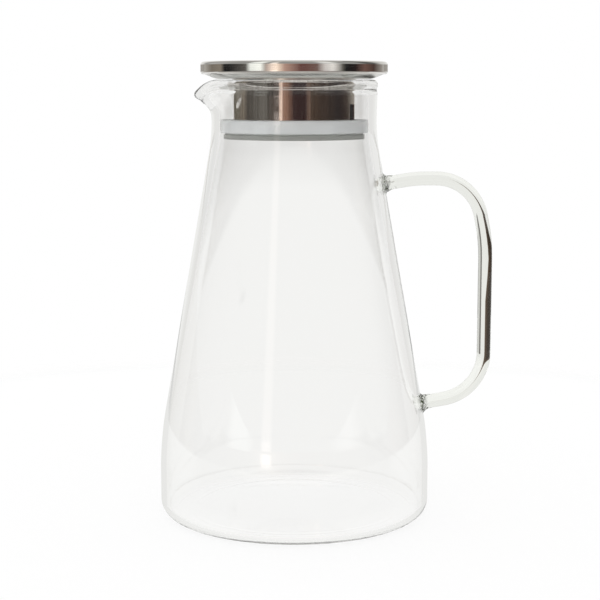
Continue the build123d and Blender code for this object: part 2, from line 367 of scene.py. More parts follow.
def mirroredRoom(tree, turn, along, up, glare):  # in steel and on the outside of the glass
    room, high, windows = (roomBand(tree, turn, bands) for bands in (roomBands, highBands, windowBands))
    room = blendColors(tree, mathNode(tree, "GREATER_THAN", up, studio["highFrom"]), room, high)
    rows = mathNode(tree, "ADD", pickRange(tree, up, 0.0, studio["windowRow"]),
                    mathNode(tree, "GREATER_THAN", up, studio["windowHigh"]))
    room = blendColors(tree, rows, room, windows, blend="ADD")
    capEnds = mathNode(tree, "MULTIPLY", mathNode(tree, "GREATER_THAN", along, studio["sleeveBack"]),
                       pickRange(tree, up, studio["capRow"], studio["highFrom"]))
    room = blendColors(tree, capEnds, room, studio["capEnd"])
    room = blendColors(tree, 1.0, room, glare, blend="ADD")
    close = mathNode(tree, "LESS_THAN", up, studio["tableNear"])
    table = blendColors(tree, close, studio["tableEdge"], studio["table"])
    room = blendColors(tree, mathNode(tree, "LESS_THAN", up, studio["tableBelow"]), room, table)
    behind = mathNode(tree, "MULTIPLY", mathNode(tree, "GREATER_THAN", along, studio["behindFrom"]),
                      mathNode(tree, "LESS_THAN", up, studio["behindBelow"]))
    room = blendColors(tree, behind, room, studio["white"])
    overhead = mathNode(tree, "GREATER_THAN", up, studio["ceilingFrom"])
    return blendColors(tree, overhead, room, studio["ceiling"])


def mirroredInside(tree, along, mirrorings, glare):  # on the inner face of the glass
    inFront = mathNode(tree, "MULTIPLY", fewerThan(tree, mirrorings, 2),
                       mathNode(tree, "LESS_THAN", along, studio["wallTurn"]))
    wall = blendColors(tree, inFront, studio["wallBack"], studio["wallFront"])
    return blendColors(tree, 1.0, wall, glare, blend="ADD")


def mirroredBySleeve(tree, turn, along, up):
    farBack = mathNode(tree, "GREATER_THAN", along, studio["sleeveBack"])
    atSleeve = mathNode(tree, "SUBTRACT", pickRange(tree, up, *studio["sleeveReach"]), farBack)
    return blendColors(tree, atSleeve, studio["white"], roomBand(tree, turn, sleeveBands))


def throughThinGlass(tree, across, up):  # dark to the left and a dark line on the right, both low down
    limit = mathNode(tree, "SUBTRACT", darkSide["start"], mathNode(tree, "MULTIPLY", up, darkSide["climb"]))
    leaning = mathNode(tree, "SUBTRACT", across, mathNode(tree, "MINIMUM", limit, darkSide["most"]))
    lined = blendColors(tree, pickRange(tree, up, darkSide["from"], darkSide["lineTo"]), thinPaper,
                        colorBand(tree, halfShare(tree, across), sideBands))
    darkRow = mathNode(tree, "MULTIPLY", rangeShare(tree, up, darkSide["from"], darkSide["full"]),
                       mathNode(tree, "LESS_THAN", up, darkSide["to"]))
    dark = colorBand(tree, halfShare(tree, leaning), darkSide["tones"])
    return blendColors(tree, darkRow, lined, dark, blend="MULTIPLY")


def buildStudio():
    world = bpy.data.worlds.new("studio")
    bpy.context.scene.world = world
    world.use_nodes = True
    tree = world.node_tree
    across, along, up = splitVector(tree, tree.nodes.new("ShaderNodeTexCoord").outputs["Generated"])
    turn = mathNode(tree, "ARCTAN2", across, mathNode(tree, "MULTIPLY", along, -1.0))
    turn = mathNode(tree, "ADD", mathNode(tree, "DIVIDE", turn, 2.0 * math.pi), 0.5)
    path = tree.nodes.new("ShaderNodeLightPath")
    mirrorings = path.outputs["Glossy Depth"]
    glare = lampGlare(tree, turn, up)
    outside = mirroredRoom(tree, turn, along, up, glare)
    inside = mirroredInside(tree, along, mirrorings, glare)
    sleeve = mirroredBySleeve(tree, turn, along, up)
    # white paper behind the glass, a little greyer at eye level
    paper = blendColors(tree, rangeShare(tree, up, studio["paperChange"], 0.0),
                        studio["paperBelow"], studio["paperLevel"])
    oneFace = atLeast(tree, path.outputs["Transmission Depth"], 1)
    twoWalls = atLeast(tree, path.outputs["Transmission Depth"], 4)  # a wall has two faces
    gloss = blendColors(tree, twoWalls, blendColors(tree, oneFace, outside, inside), sleeve)
    seen = blendColors(tree, twoWalls, throughThinGlass(tree, across, up), paper)
    seen = blendColors(tree, atLeast(tree, mirrorings, 1), seen, gloss)
    seen = blendColors(tree, path.outputs["Is Camera Ray"], seen, studio["white"])
    paperTones = [[studio[side]] * 3 for side in ("paperLeft", "paperRight")]
    softLight = blendColors(tree, halfShare(tree, across), *paperTones)
    seen = blendColors(tree, atLeast(tree, path.outputs["Diffuse Depth"], 1), seen, softLight)
    tree.links.new(seen, tree.nodes["Background"].inputs["Color"])
    light = bpy.context.scene.cycles
    light.max_bounces = studio["lightSteps"]
    light.transmission_bounces = studio["lightSteps"]
    light.glossy_bounces = studio["glossSteps"]


def floorPaper():  # matt paper that keeps a soft shadow and fades out at its edge
    material, tree, shader = newMaterial("floorPaper")
    shader.inputs["Base Color"].default_value = (*[studio["floorTone"]] * 3, 1.0)
    shader.inputs["Roughness"].default_value = 1.0
    shader.inputs["Specular IOR Level"].default_value = 0.0
    path = tree.nodes.new("ShaderNodeLightPath")
    bent = mathNode(tree, "MAXIMUM", path.outputs["Is Glossy Ray"], path.outputs["Is Transmission Ray"])
    shown = mathNode(tree, "MAXIMUM", mathNode(tree, "MULTIPLY", bent, studio["floorThrough"]),
                     mathNode(tree, "MULTIPLY", path.outputs["Is Camera Ray"], studio["floorWhite"]))
    mirrored = mathNode(tree, "MULTIPLY", atLeast(tree, path.outputs["Glossy Depth"], 1),
                        fewerThan(tree, path.outputs["Transmission Depth"], 3))
    place = objectPlace(tree)
    length = addNode(tree, "ShaderNodeVectorMath", operation="LENGTH")
    tree.links.new(place, length.inputs[0])
    distance = length.outputs["Value"]
    along = splitVector(tree, place)["Y"]
    table = blendColors(tree, reachShare(tree, distance, studio["floorNear"]),
                        studio["paperBelow"], studio["tableEdge"])
    table = blendColors(tree, reachShare(tree, along, studio["floorFar"]), table, studio["table"])
    table = blendColors(tree, reachShare(tree, along, studio["floorTurn"]), table, studio["floorSide"])
    through = blendColors(tree, path.outputs["Is Camera Ray"], studio["paperBelow"], studio["white"])
    paper = tree.nodes.new("ShaderNodeEmission")
    tree.links.new(blendColors(tree, mirrored, through, table), paper.inputs["Color"])
    lifted = mixShaders(tree, shown, shader.outputs[0], paper.outputs[0])
    clear, rim = studio["floorClear"] * mm, studio["floorRadius"] * mm
    edge = rangeShare(tree, distance, clear, rim, kind="SMOOTHSTEP")
    faded = mixShaders(tree, edge, lifted, tree.nodes.new("ShaderNodeBsdfTransparent").outputs[0])
    tree.links.new(faded, tree.nodes["Material Output"].inputs["Surface"])
    return material


def buildFloor():
    bm = bmesh.new()
    bmesh.ops.create_circle(bm, cap_ends=True, segments=studio["floorSegments"],
                            radius=studio["floorRadius"] * mm)
    bmesh.ops.translate(bm, verts=bm.verts, vec=(0, 0, -studio["floorDrop"] * mm))
    mesh = bpy.data.meshes.new("floor")
    bm.to_mesh(mesh)
    bm.free()
    floor = bpy.data.objects.new("floor", mesh)
    bpy.context.scene.collection.objects.link(floor)
    mesh.materials.append(floorPaper())


buildStudio()
buildFloor()
print("studio and floor ready")


# shared surface effects
noiseRange = (0.3, 0.7)  # noise rarely leaves this range


def drawLines():  # faint waves that drawn glass keeps, longer upwards than across
    group, entry, leave = effectGroup(
        "drawLines",
        [("Across", "NodeSocketFloat", 60.0), ("Upwards", "NodeSocketFloat", 8.0)],
        [("Height", "NodeSocketFloat")],
    )
    scale = addNode(group, "ShaderNodeCombineXYZ")
    for index, label in enumerate(("Across", "Across", "Upwards")):
        group.links.new(entry.outputs[label], scale.inputs[index])
    mapping = group.nodes.new("ShaderNodeMapping")
    group.links.new(objectPlace(group), mapping.inputs["Vector"])
    group.links.new(scale.outputs[0], mapping.inputs["Scale"])
    waves = addNode(group, "ShaderNodeTexNoise", Scale=1.0, Detail=2.0, Roughness=0.4)
    group.links.new(mapping.outputs[0], waves.inputs["Vector"])
    group.links.new(waves.outputs["Fac"], leave.inputs["Height"])
    return group


def brushMarks():  # fine parallel lines left by a brushing belt, with slow cloudiness over them
    group, entry, leave = effectGroup(
        "brushMarks",
        [("Lines", "NodeSocketVector", (900.0, 900.0, 14.0)), ("Cloud", "NodeSocketFloat", 90.0)],
        [("Mark", "NodeSocketFloat"), ("Patch", "NodeSocketFloat")],
    )
    place = objectPlace(group)
    mapping = group.nodes.new("ShaderNodeMapping")
    group.links.new(place, mapping.inputs["Vector"])
    group.links.new(entry.outputs["Lines"], mapping.inputs["Scale"])
    lines = addNode(group, "ShaderNodeTexNoise", Scale=1.0, Detail=4.0, Roughness=0.65)
    group.links.new(mapping.outputs[0], lines.inputs["Vector"])
    cloud = addNode(group, "ShaderNodeTexNoise", Detail=2.0)
    group.links.new(place, cloud.inputs["Vector"])
    group.links.new(entry.outputs["Cloud"], cloud.inputs["Scale"])
    group.links.new(lines.outputs["Fac"], leave.inputs["Mark"])
    group.links.new(cloud.outputs["Fac"], leave.inputs["Patch"])
    return group


def turnedMarks():  # rings round the axis, as a polishing wheel leaves them
    group, entry, leave = effectGroup(
        "turnedMarks",
        [("Rings", "NodeSocketFloat", 2200.0)],
        [("Mark", "NodeSocketFloat")],
    )
    across, along, up = splitVector(group, objectPlace(group))
    profile = mathNode(group, "ADD", axisDistance(group, across, along), up)
    lined = mathNode(group, "MULTIPLY", profile, entry.outputs["Rings"])
    rings = addNode(group, "ShaderNodeTexNoise", noise_dimensions="1D", Scale=1.0, Detail=3.0)
    group.links.new(lined, rings.inputs["W"])
    group.links.new(rings.outputs["Fac"], leave.inputs["Mark"])
    return group


def mouldGrain():  # fine skin of moulded plastic and silicone, with a slow drift of tone
    group, entry, leave = effectGroup(
        "mouldGrain",
        [("Grain", "NodeSocketFloat", 2500.0), ("Drift", "NodeSocketFloat", 60.0)],
        [("Height", "NodeSocketFloat"), ("Tone", "NodeSocketFloat")],
    )
    place = objectPlace(group)
    grain = addNode(group, "ShaderNodeTexNoise", Detail=3.0)
    drift = addNode(group, "ShaderNodeTexNoise", Detail=2.0)
    for node, label, result in ((grain, "Grain", "Height"), (drift, "Drift", "Tone")):
        group.links.new(place, node.inputs["Vector"])
        group.links.new(entry.outputs[label], node.inputs["Scale"])
        group.links.new(node.outputs["Fac"], leave.inputs[result])
    return group


drawLinesGroup = drawLines()
brushMarksGroup = brushMarks()
turnedMarksGroup = turnedMarks()
mouldGrainGroup = mouldGrain()


def addBump(tree, shader, height, strength, distance):
    bump = addNode(tree, "ShaderNodeBump", Strength=strength, Distance=distance * mm)
    tree.links.new(height, bump.inputs["Height"])
    tree.links.new(bump.outputs["Normal"], shader.inputs["Normal"])


def spreadNoise(tree, value, low, high):
    return rangeShare(tree, value, *noiseRange, low, high)


def clearGlass(name, finish):
    material, tree, shader = newMaterial(name)
    shader.inputs["Base Color"].default_value = (*finish["tint"], 1.0)
    shader.inputs["Roughness"].default_value = 0.0
    shader.inputs["IOR"].default_value = finish["ior"]
    shader.inputs["Transmission Weight"].default_value = 1.0
    waves = placeGroup(tree, drawLinesGroup, Across=finish["across"], Upwards=finish["upwards"])
    addBump(tree, shader, waves.outputs["Height"], finish["waviness"], finish["waveDepth"])
    return material


def steel(name, finish):
    material, tree, shader = newMaterial(name)
    shader.inputs["Metallic"].default_value = 1.0
    brushed = placeGroup(tree, brushMarksGroup, Lines=finish["lines"], Cloud=finish["cloud"])
    mark = brushed.outputs["Mark"]
    if finish["rings"]:
        turned = placeGroup(tree, turnedMarksGroup, Rings=finish["rings"])
        mark = turned.outputs["Mark"]
    tone = blendColors(tree, spreadNoise(tree, mark, 0.0, 1.0), finish["dark"], finish["bright"])
    tree.links.new(tone, shader.inputs["Base Color"])
    smear = mathNode(tree, "ADD", spreadNoise(tree, mark, *finish["roughness"]),
                     spreadNoise(tree, brushed.outputs["Patch"], -finish["smear"], finish["smear"]))
    tree.links.new(smear, shader.inputs["Roughness"])
    addBump(tree, shader, mark, finish["relief"], finish["depth"])
    return material


# piece helpers
longRun = 2.5  # a straight run of a profile is longer than this, a step of a rounding isn't
shortRun = 0.15
mergeWithin = 1e-6  # metres
fineMerge = 1e-7


def turnedBmesh(corners):  # corners: radius, height, rounding, rounding steps
    bm = bmesh.new()
    verts = [bm.verts.new((corner[0] * mm, 0, corner[1] * mm)) for corner in corners]
    for first, second in zip(verts, verts[1:]):
        bm.edges.new((first, second))
    if corners[0][0] > 0:
        bm.edges.new((verts[-1], verts[0]))
    for vert, corner in zip(verts, corners):
        if corner[2] > 0:
            bmesh.ops.bevel(bm, geom=[vert], offset=corner[2] * mm, offset_type="OFFSET",
                            segments=corner[3], profile=0.5, affect="VERTICES", material=-1)
    bmesh.ops.remove_doubles(bm, verts=bm.verts, dist=mergeWithin)
    for edge in bm.edges[:]:  # short runs beside each rounding keep the long ones flat
        for vert in edge.verts[:]:
            length = edge.calc_length()
            if length > longRun * mm:
                made, _ = bmesh.utils.edge_split(edge, vert, shortRun * mm / length)
                edge = max((edge, made), key=lambda part: part.calc_length())
    return bm


def spinRound(bm, steps):
    bmesh.ops.spin(bm, geom=bm.verts[:] + bm.edges[:], cent=(0, 0, 0), axis=upAxis, dvec=(0, 0, 0),
                   angle=2.0 * math.pi, steps=steps, use_merge=True)
    bmesh.ops.remove_doubles(bm, verts=bm.verts, dist=mergeWithin)
    bmesh.ops.recalc_face_normals(bm, faces=bm.faces)


def finishPiece(name, bm, material, body, node, sharpFrom=40.0):
    mesh = bpy.data.meshes.new(name)
    bm.to_mesh(mesh)
    bm.free()
    mesh.shade_smooth()
    mesh.set_sharp_from_angle(angle=math.radians(sharpFrom))
    mesh.materials.append(material)
    piece = bpy.data.objects.new(name, mesh)
    bpy.context.scene.collection.objects.link(piece)
    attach(piece, body)
    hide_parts(node)
    print(name, "done:", len(mesh.polygons), "faces")


# glass body
glassFinish = {
    "tint": (1.0, 1.0, 1.0),
    "ior": 1.47,
    "across": 70.0,
    "upwards": 7.0,
    "waviness": 0.25,
    "waveDepth": 0.04,
}
jugShape = {
    "belly": 70.0,
    "bellyInside": 67.2,
    "bellyHeight": 38.7,
    "neck": 42.1,
    "neckInside": 38.1,
    "shoulderHeight": 196.5,
    "pulledFrom": 204.5,
    "rimRadius": 2.2,
    "rimMiddle": 40.3,
    "rimHeight": 222.8,
    "footInside": 53.0,
    "footRound": 1.0,
    "cornerRound": 8.0,
    "bellyRound": 14.0,
    "shoulderRound": 7.0,
    "baseThick": 2.8,  # as even as the wall, for the base is as pale as the body in the photo
    "insideRound": 5.2,
    "pushUp": 2.5,
    "domeFlat": 1.0,  # what the rounding of the pushed-up base leaves straight
    "waist": 0.45,  # the wall thins here, under the melted rim
    "waistHeight": 220.4,
    "waistSpread": 1.2,
    "waistLoss": 0.6,  # how much weaker that is at the spout
    "sharpFrom": 60.0,
    "steps": 240,
    "wallCuts": 30,
}
spoutShape = {
    "reach": 8.4,
    "drop": 5.3,
    "lean": 54.0,
    "halfAngle": 42.0,
    "dipHalfAngle": 27.0,
    "curvePull": 0.45,
}


def hump(angle, halfAngle):
    if abs(angle) >= halfAngle:
        return 0.0
    return math.cos(math.pi / 2.0 * angle / halfAngle) ** 2


def wallPoint(start, end, lean, share):  # on the curve from the upright neck to the leaning rim
    reach = spoutShape["curvePull"] * (end - start).length
    handles = (start, start + Vector((0, reach)), end - reach * Vector((math.sin(lean), math.cos(lean))), end)
    keep = 1.0 - share
    weights = (keep ** 3, 3 * keep ** 2 * share, 3 * keep * share ** 2, share ** 3)
    return sum((weight * point for weight, point in zip(weights, handles)), Vector((0, 0)))


def waistDepth(height, pull):
    jug = jugShape
    offset = (height - jug["waistHeight"]) / jug["waistSpread"]
    return jug["waist"] * math.exp(-offset ** 2) * (1.0 - jug["waistLoss"] * pull)


def pullSpout(bm):
    jug = jugShape
    for vert in bm.verts:
        radius = math.hypot(vert.co.x, vert.co.y) / mm
        height = vert.co.z / mm
        if height <= jug["pulledFrom"]:
            continue
        angle = math.degrees(math.atan2(-vert.co.y, -vert.co.x))
        pull = hump(angle, spoutShape["halfAngle"])
        lean = math.radians(spoutShape["lean"] * pull)
        dip = spoutShape["drop"] * hump(angle, spoutShape["dipHalfAngle"])
        middle = Vector((jug["rimMiddle"] + spoutShape["reach"] * pull, jug["rimHeight"] - dip))
        across = Vector((math.cos(lean), -math.sin(lean)))
        along = Vector((math.sin(lean), math.cos(lean)))
        share = (height - jug["pulledFrom"]) / (jug["rimHeight"] - jug["pulledFrom"])
        if share >= 1.0:
            moved = middle + (radius - jug["rimMiddle"]) * across + (height - jug["rimHeight"]) * along
        else:
            side, foot = (1.0, jug["neck"]) if radius > jug["rimMiddle"] else (-1.0, jug["neckInside"])
            start = Vector((foot, jug["pulledFrom"]))
            moved = wallPoint(start, middle + side * jug["rimRadius"] * across, lean, share)
            moved -= side * waistDepth(height, pull) * across
        outward = Vector((vert.co.x, vert.co.y, 0)).normalized()
        vert.co = (outward * moved.x + upAxis * moved.y) * mm


def makeGlassBody():
    jug = jugShape
    rimOut = jug["rimMiddle"] + jug["rimRadius"]
    rimTop = jug["rimHeight"] + jug["rimRadius"]
    baseTop = jug["baseThick"] + jug["pushUp"]
    dome = jug["footInside"] / 2.0
    domeRound = dome - jug["domeFlat"]
    bm = turnedBmesh([
        (0, jug["pushUp"], 0, 0),
        (dome, jug["pushUp"], domeRound, 24),
        (jug["footInside"], 0, jug["footRound"], 3),
        (jug["belly"], 0, jug["cornerRound"], 12),
        (jug["belly"], jug["bellyHeight"], jug["bellyRound"], 14),
        (jug["neck"], jug["shoulderHeight"], jug["shoulderRound"], 10),
        (jug["neck"], jug["pulledFrom"], 0, 0),
        (rimOut, jug["rimHeight"], 0, 0),
        (rimOut, rimTop, jug["rimRadius"], 8),
        (jug["neckInside"], rimTop, jug["rimRadius"], 8),
        (jug["neckInside"], jug["rimHeight"], 0, 0),
        (jug["neckInside"], jug["pulledFrom"], 0, 0),
        (jug["neckInside"], jug["shoulderHeight"], jug["shoulderRound"], 10),
        (jug["bellyInside"], jug["bellyHeight"], jug["bellyRound"], 14),
        (jug["bellyInside"], jug["baseThick"], jug["insideRound"], 12),
        (jug["footInside"], jug["baseThick"], jug["footRound"], 3),
        (dome, baseTop, domeRound, 24),
        (0, baseTop, 0, 0),
    ])
    low, high = jug["pulledFrom"] * mm - mergeWithin, jug["rimHeight"] * mm + mergeWithin
    walls = [edge for edge in bm.edges if edge.calc_length() > longRun * mm
             and all(low < vert.co.z < high for vert in edge.verts)]
    bmesh.ops.subdivide_edges(bm, edges=walls, cuts=jug["wallCuts"])
    spinRound(bm, jug["steps"])
    pullSpout(bm)
    bmesh.ops.recalc_face_normals(bm, faces=bm.faces)
    material = clearGlass("bodyGlass", glassFinish)
    finishPiece("glassBody", bm, material, "jug", "glass_body", jug["sharpFrom"])


makeGlassBody()


# handle: one glass rod, drawn along straight runs and bends
handleFinish = dict(
    glassFinish,
    tint=(0.975, 0.985, 0.955),
    across=240.0,
    upwards=40.0,
    waviness=0.35,
    waveDepth=0.05,
    # painted shade: this dark green colour stands in for the dark surroundings seen through the welds
    weldShade=(0.03, 0.042, 0.016),
    weldShadeReach=(3.4, 0.8),  # how far from the wall the painted weld shade starts, and where it's full
    weldShadeScale=650.0,
    weldShadeSpots=(0.49, 0.57),
)
handleShape = {
    "rod": 3.6,
    "rootHeight": 172.2,
    "rootDepth": 2.0,  # the slopes of both arms are set out from this far inside the wall
    "rise": 3.0,
    "knee": 16.0,
    "kneeRound": 60.0,
    "levelRun": 10.6,
    "upperBend": 23.5,
    "lean": 12.5,
    "leanRun": 3.3,
    "leanRound": 90.0,
    "lowerBend": 25.0,
    "lowerCorner": 63.4,
    "lowerRise": 6.2,
    "weld": 5.5,
    "weldLength": 5.0,
    "sunk": 0.6,  # both ends reach this far into the wall
    "endStep": 0.12,
    "endSizes": (0.75, 0.65, 0.5),  # each ring of the blunt ends against the one before
    "around": 40,
    "weldRings": 24,
    "runRings": 6,
    "bendStep": 3.0,
    "bendRings": 4,  # at least
    "lump": 0.6,  # how uneven the melted ends are
    "lumpSize": 1.8,
    "lumpMiddle": 1.5,
    "lumpReach": 6.0,
    "lumpSeed": 5,  # without a seed the lumps differ with each run
}
coneSlope = (jugShape["belly"] - jugShape["neck"]) / (jugShape["shoulderHeight"] - jugShape["bellyHeight"])


def coneRadius(height):
    return jugShape["neck"] + (jugShape["shoulderHeight"] - height) * coneSlope


def handleLegs():  # start, first direction, and the runs and bends that follow
    rod = handleShape
    lean = math.radians(rod["lean"])
    start = Vector((coneRadius(rod["rootHeight"]), rod["rootHeight"]))
    climb = Vector((rod["knee"], rod["rise"] * rod["knee"] / (rod["knee"] + rod["rootDepth"])))
    slope = math.atan2(climb.y, climb.x)
    kneeCut = rod["kneeRound"] * math.tan(slope / 2.0)
    bendCut = rod["upperBend"] * math.tan((math.pi / 2.0 - lean) / 2.0)
    leanCut = rod["leanRound"] * math.tan(lean / 2.0)
    leanLength = bendCut + rod["leanRun"] + leanCut
    top = start.y + climb.y
    reach = start.x + climb.x + rod["levelRun"] + bendCut + leanLength * math.sin(lean)
    gripTop = top - leanLength * math.cos(lean) - leanCut
    lowerRoot = rod["lowerCorner"] - rod["lowerRise"]
    lowerArm = Vector((coneRadius(lowerRoot) - rod["rootDepth"] - reach, -rod["lowerRise"]))
    lowerSlope = math.atan2(-lowerArm.y, -lowerArm.x)
    lowerTurn = math.pi / 2.0 - lowerSlope
    lowerCut = rod["lowerBend"] * math.tan(lowerTurn / 2.0)
    lowerEnd = lowerArm.length - lowerCut - rod["rootDepth"] / math.cos(lowerSlope)
    legs = [
        ("run", climb.length - kneeCut),
        ("bend", rod["kneeRound"], slope),
        ("run", rod["levelRun"] - kneeCut),
        ("bend", rod["upperBend"], math.pi / 2.0 - lean),
        ("run", rod["leanRun"]),
        ("bend", rod["leanRound"], lean),
        ("run", gripTop - rod["lowerCorner"] - lowerCut),
        ("bend", rod["lowerBend"], lowerTurn),
        ("run", lowerEnd),
    ]
    return start, slope, legs


def ringOf(bm, edges, distance, direction):
    made = bmesh.ops.extrude_edge_only(bm, edges=edges)["geom"]
    verts = [part for part in made if isinstance(part, bmesh.types.BMVert)]
    bmesh.ops.translate(bm, verts=verts, vec=direction * distance * mm)
    return [part for part in made if isinstance(part, bmesh.types.BMEdge)]


def ringCentre(edges):
    verts = list(dict.fromkeys(vert for edge in edges for vert in edge.verts))
    return sum((vert.co for vert in verts), Vector()) / len(verts), verts


def resizeRing(bm, edges, factor):
    centre, verts = ringCentre(edges)
    bmesh.ops.scale(bm, verts=verts, vec=(factor,) * 3, space=Matrix.Translation(-centre))


def closeEnd(bm, edges, direction):  # blunt end inside the wall
    for factor in handleShape["endSizes"]:
        edges = ringOf(bm, edges, handleShape["endStep"], direction)
        resizeRing(bm, edges, factor)
    bmesh.ops.holes_fill(bm, edges=edges, sides=0)


def flareRadius(distance):  # weld radius at the wall, easing to the rod
    rod = handleShape
    share = min(1.0, max(0.0, distance / rod["weldLength"]))
    return rod["rod"] + (rod["weld"] - rod["rod"]) * (1.0 - math.sqrt(1.0 - (1.0 - share) ** 2))


def drawRun(bm, ring, heading, length, first, last):  # the first and the last run flare at the wall
    rod = handleShape
    steps = rod["runRings"]
    if first or last:
        steps = rod["weldRings"]
        length += rod["sunk"]
    for step in range(steps):
        ring = ringOf(bm, ring, length / steps, heading)
        gone = length * (step + 1) / steps
        size = rod["rod"]
        if first:
            size = flareRadius(gone - rod["sunk"])
        elif last:
            size = flareRadius(length - gone - rod["sunk"])
        centre, verts = ringCentre(ring)
        resizeRing(bm, ring, size * mm / (verts[0].co - centre).length)
    return ring


def drawBend(bm, ring, angle, radius, turn):
    centre, _ = ringCentre(ring)
    side = Vector((math.sin(angle), 0, -math.cos(angle)))
    steps = max(handleShape["bendRings"], int(math.degrees(turn) / handleShape["bendStep"]))
    made = bmesh.ops.spin(bm, geom=ring, cent=centre + side * radius * mm, axis=(0, 1, 0), dvec=(0, 0, 0),
                          angle=turn, steps=steps, use_merge=False)
    return [part for part in made["geom_last"] if isinstance(part, bmesh.types.BMEdge)]


def roughenWelds(bm):  # melted ends are uneven
    rod = handleShape
    noise.seed_set(rod["lumpSeed"])
    for vert in bm.verts:
        away = math.hypot(vert.co.x, vert.co.y) / mm - coneRadius(vert.co.z / mm)
        share = max(0.0, 1.0 - abs(away - rod["lumpMiddle"]) / rod["lumpReach"])
        if share > 0.0:
            vert.co += noise.noise_vector(vert.co / (rod["lumpSize"] * mm)) * rod["lump"] * share * mm


def paintWeldShade(material, finish):  # painted shade: dark green streaks where the rod was melted on, standing in for dark surroundings seen through the thick glass
    tree = material.node_tree
    place = objectPlace(tree)
    across, along, up = splitVector(tree, place)
    wall = mathNode(tree, "SUBTRACT", coneRadius(0.0) * mm, mathNode(tree, "MULTIPLY", up, coneSlope))
    away = mathNode(tree, "SUBTRACT", axisDistance(tree, across, along), wall)
    streaks = addNode(tree, "ShaderNodeTexNoise", Scale=finish["weldShadeScale"], Detail=3.0)
    tree.links.new(place, streaks.inputs["Vector"])
    # painted shade: near the wall the glass colour turns dark green in noisy streaks
    weldShade = mathNode(tree, "MULTIPLY", reachShare(tree, away, finish["weldShadeReach"]),
                     rangeShare(tree, streaks.outputs["Fac"], *finish["weldShadeSpots"]))
    weldShaded = blendColors(tree, weldShade, finish["tint"], finish["weldShade"])
    tree.links.new(weldShaded, tree.nodes["Principled BSDF"].inputs["Base Color"])


def makeHandle():
    rod = handleShape
    start, angle, legs = handleLegs()
    heading = Vector((math.cos(angle), 0, math.sin(angle)))
    origin = Vector((start.x, 0, start.y)) - heading * rod["sunk"]
    facing = Matrix.Translation(origin * mm) @ heading.to_track_quat("Z", "Y").to_matrix().to_4x4()
    bm = bmesh.new()
    bmesh.ops.create_circle(bm, cap_ends=False, segments=rod["around"], radius=rod["weld"] * mm,
                            matrix=facing)
    ring = bm.edges[:]
    closeEnd(bm, ring, -heading)
    for index, (kind, *sizes) in enumerate(legs):
        heading = Vector((math.cos(angle), 0, math.sin(angle)))
        if kind == "run":
            ring = drawRun(bm, ring, heading, *sizes, index == 0, index == len(legs) - 1)
        else:
            radius, turn = sizes
            ring = drawBend(bm, ring, angle, radius, turn)
            angle -= turn
    closeEnd(bm, ring, heading)
    roughenWelds(bm)
    bmesh.ops.remove_doubles(bm, verts=bm.verts, dist=fineMerge)
    bmesh.ops.recalc_face_normals(bm, faces=bm.faces)
    material = clearGlass("handleGlass", handleFinish)
    paintWeldShade(material, handleFinish)
    finishPiece("handleRod", bm, material, "jug", "handle")


makeHandle()


# lid cap: pressed steel, polished on the rim and brushed in rings on top
capFinish = {
    "dark": (0.60, 0.58, 0.55),
    "bright": (0.70, 0.685, 0.66),
    "roughness": (0.045, 0.08),
    "smear": 0.015,
    "lines": (300.0, 300.0, 300.0),
    "cloud": 70.0,
    "rings": 2600.0,
    "relief": 0.05,
    "depth": 0.02,
}
capShape = {
    "radius": 47.5,
    "hem": 45.5,
    "top": 234.1,
    "bottom": 227.7,
    "wall": 0.7,
    "topRound": 1.5,
    "bottomRound": 1.2,
    "hemRound": 0.2,
    "steps": 192,
}


def makeCap():
    cap = capShape
    wall = cap["wall"]
    inside = cap["radius"] - wall
    bm = turnedBmesh([
        (0, cap["top"], 0, 0),
        (cap["radius"], cap["top"], cap["topRound"], 8),
        (cap["radius"], cap["bottom"], cap["bottomRound"], 8),
        (cap["hem"], cap["bottom"], cap["hemRound"], 3),
        (cap["hem"], cap["bottom"] + wall, cap["hemRound"], 3),
        (inside, cap["bottom"] + wall, cap["bottomRound"] - wall, 4),
        (inside, cap["top"] - wall, cap["topRound"] - wall, 4),
        (0, cap["top"] - wall, 0, 0),
    ])
    spinRound(bm, cap["steps"])
    finishPiece("lidCap", bm, steel("capSteel", capFinish), "lid", "lid_cap")


makeCap()


# dished underplate: satin steel that hangs on the cap's turned-in rim
plateFinish = dict(
    capFinish,
    roughness=(0.22, 0.34),
    dark=(0.52, 0.52, 0.49),
    bright=(0.62, 0.62, 0.59),
    relief=0.08,
)
plateShape = {
    "edge": 46.2,
    "drop": 45.4,
    "flat": 39.7,
    "hole": 31.0,
    "shelf": 228.5,
    "capBottom": 227.7,
    "bottom": 225.4,
    "thick": 0.6,
    "edgeRound": 0.15,
    "shelfRound": 0.2,
    "dropRound": 0.5,
    "dropInside": 0.3,
    "dishRound": 2.0,
    "steps": 192,
}


def makeUnderplate():
    plate = plateShape
    thick = plate["thick"]
    bm = turnedBmesh([
        (plate["edge"], plate["shelf"], plate["edgeRound"], 3),
        (plate["drop"], plate["shelf"], plate["shelfRound"], 3),
        (plate["drop"], plate["capBottom"], plate["dropRound"], 5),
        (plate["flat"], plate["bottom"], plate["dishRound"], 6),
        (plate["hole"], plate["bottom"], plate["edgeRound"], 3),
        (plate["hole"], plate["bottom"] + thick, plate["edgeRound"], 3),
        (plate["flat"], plate["bottom"] + thick, plate["dishRound"], 6),
        (plate["drop"] - thick, plate["capBottom"] + thick, plate["dropInside"], 4),
        (plate["drop"] - thick, plate["shelf"] + thick, plate["shelfRound"], 3),
        (plate["edge"], plate["shelf"] + thick, plate["edgeRound"], 3),
    ])
    spinRound(bm, plate["steps"])
    material = steel("plateSteel", plateFinish)
    finishPiece("lidUnderplate", bm, material, "lid", "lid_underplate")


makeUnderplate()


